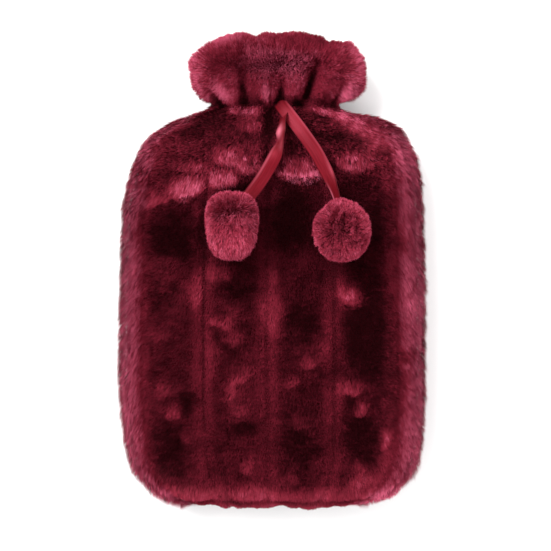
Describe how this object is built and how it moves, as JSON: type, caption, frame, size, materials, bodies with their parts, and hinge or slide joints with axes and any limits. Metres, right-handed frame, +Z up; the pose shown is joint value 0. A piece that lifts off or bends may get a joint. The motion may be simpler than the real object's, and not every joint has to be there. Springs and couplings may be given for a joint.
{
  "type": "hot water bottle cover",
  "caption": "Plush fur cloth cover for a hot water bottle, a flat pouch gathered at the neck into a ruffle, tied by a satin ribbon with a fur pompom on each tail.",
  "frame": {"origin": "on the surface that the cover lies on, under the middle of the box of its cloth, which is half way up its length and across its width; the ribbon tails and pompoms are not counted", "axes": "+Z up, out of the front face; +Y along the cover's length, from the bottom edge to the ruffle; +X to the right as seen from the front"},
  "size_m": [0.2409, 0.37, 0.1021],
  "materials": {
    "fur_cloth": "burgundy plush pile, brushed, dark where it stands and paler where it leans",
    "satin_ribbon": "red satin weave with a soft lengthwise gloss",
    "fur_pompom": "rose and burgundy plush pile"
  },
  "bodies": {
    "root": {"front_panel": "fur_cloth", "back_panel": "fur_cloth", "ribbon_left": "satin_ribbon", "ribbon_right": "satin_ribbon", "pompom_left": "fur_pompom", "pompom_right": "fur_pompom"}
  },
  "joints": []
}
